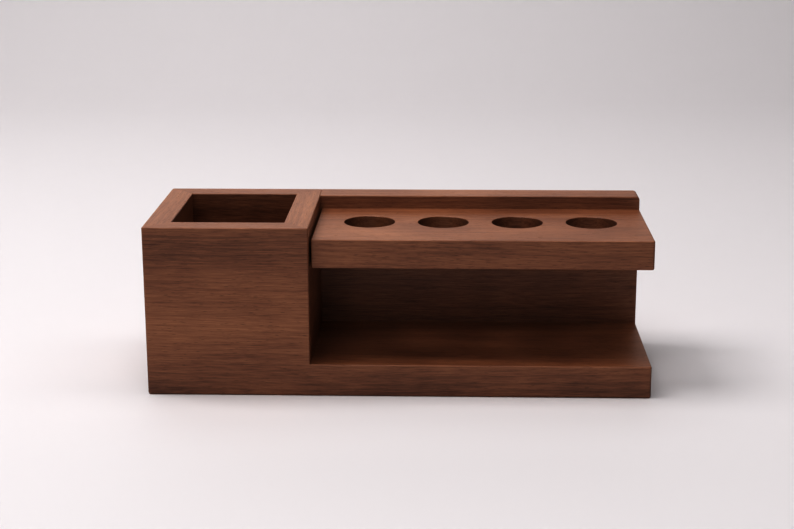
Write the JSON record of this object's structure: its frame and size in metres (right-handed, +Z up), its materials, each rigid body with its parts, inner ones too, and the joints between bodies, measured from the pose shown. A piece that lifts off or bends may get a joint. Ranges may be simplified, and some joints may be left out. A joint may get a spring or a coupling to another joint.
{
  "type": "razor stand",
  "caption": "Wooden counter-top grooming stand: an open-topped square box beside a raised shelf with a row of round holes over an open bay, on one long base board.",
  "frame": {"origin": "middle of the footprint, on the plane that rests on the counter", "axes": "+X along the stand with the box at the -X end, +Y towards the back panel, +Z up"},
  "size_m": [0.292, 0.107, 0.1],
  "materials": {
    "oiled_walnut": "oiled, satin",
    "spline_maple": "sawn",
    "dowel_beech": "fluted, unfinished"
  },
  "bodies": {
    "root": {"base_board": "oiled_walnut", "box_front_wall": "oiled_walnut", "box_back_wall": "oiled_walnut", "box_left_wall": "oiled_walnut", "box_right_wall": "oiled_walnut", "back_panel": "oiled_walnut", "razor_shelf": "oiled_walnut", "mitre_splines": "spline_maple", "box_foot_dowels": "dowel_beech", "panel_foot_dowels": "dowel_beech", "shelf_dowels": "dowel_beech"}
  },
  "joints": []
}
